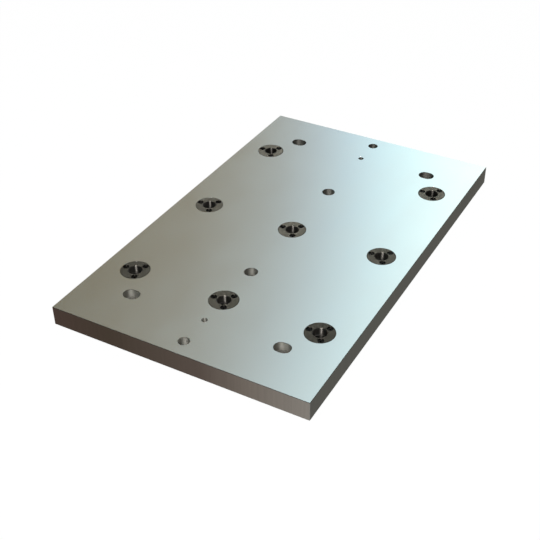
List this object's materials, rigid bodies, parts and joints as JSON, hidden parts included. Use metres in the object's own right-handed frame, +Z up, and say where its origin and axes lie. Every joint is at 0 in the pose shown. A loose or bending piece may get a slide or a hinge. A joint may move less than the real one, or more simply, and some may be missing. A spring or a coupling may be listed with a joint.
{
  "type": "machine subplate",
  "caption": "Flat ground steel subplate with flush round receiver bushings, counterbored table bolt holes and slots, key bores and lifting holes.",
  "frame": {"origin": "centre of the bottom face, the one that lies on the machine table", "axes": "+X across the short side, +Y along the long side towards the end whose middle bushing place is plain, +Z up"},
  "size_m": [0.4, 0.65, 0.03],
  "materials": {
    "ground_steel": "surface ground, satin",
    "hardened_steel": "hardened, black oxide, ground bore",
    "black_screw": "black oxide"
  },
  "bodies": {
    "root": {"base_plate": "ground_steel", "receiver_bushing_1": "hardened_steel", "receiver_bushing_2": "hardened_steel", "receiver_bushing_3": "hardened_steel", "receiver_bushing_4": "hardened_steel", "receiver_bushing_5": "hardened_steel", "receiver_bushing_6": "hardened_steel", "receiver_bushing_7": "hardened_steel", "receiver_bushing_8": "hardened_steel", "bushing_screw_1a": "black_screw", "bushing_screw_1b": "black_screw", "bushing_screw_1c": "black_screw", "bushing_screw_2a": "black_screw", "bushing_screw_2b": "black_screw", "bushing_screw_2c": "black_screw", "bushing_screw_3a": "black_screw", "bushing_screw_3b": "black_screw", "bushing_screw_3c": "black_screw", "bushing_screw_4a": "black_screw", "bushing_screw_4b": "black_screw", "bushing_screw_4c": "black_screw", "bushing_screw_5a": "black_screw", "bushing_screw_5b": "black_screw", "bushing_screw_5c": "black_screw", "bushing_screw_6a": "black_screw", "bushing_screw_6b": "black_screw", "bushing_screw_6c": "black_screw", "bushing_screw_7a": "black_screw", "bushing_screw_7b": "black_screw", "bushing_screw_7c": "black_screw", "bushing_screw_8a": "black_screw", "bushing_screw_8b": "black_screw", "bushing_screw_8c": "black_screw"}
  },
  "joints": []
}
